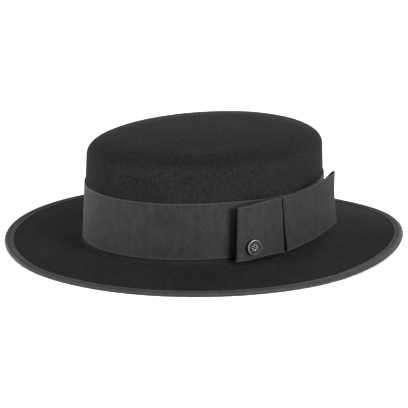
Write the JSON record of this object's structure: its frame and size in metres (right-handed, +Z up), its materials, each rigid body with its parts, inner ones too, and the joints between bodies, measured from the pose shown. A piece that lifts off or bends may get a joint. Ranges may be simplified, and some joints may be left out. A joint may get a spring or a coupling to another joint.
{
  "type": "felt boater hat",
  "caption": "Black felt boater hat with a flat oval crown, a stiff level brim, a ribbon band with a flat side bow, a metal button and a ribbon-bound edge.",
  "frame": {"origin": "on the surface that the hat lies on, under the middle of its box", "axes": "+Z up through the crown, -Y towards the front of the hat, +X towards the wearer's left, where the bow is"},
  "size_m": [0.3004, 0.3204, 0.0868],
  "materials": {
    "felt": "brushed wool felt",
    "ribbon": "ribbed grosgrain",
    "metal": "antiqued pewter tone"
  },
  "bodies": {
    "root": {"felt_body": "felt", "hat_band": "ribbon", "brim_binding": "ribbon", "bow_front_loop": "ribbon", "bow_rear_loop": "ribbon", "button": "metal"}
  },
  "joints": []
}
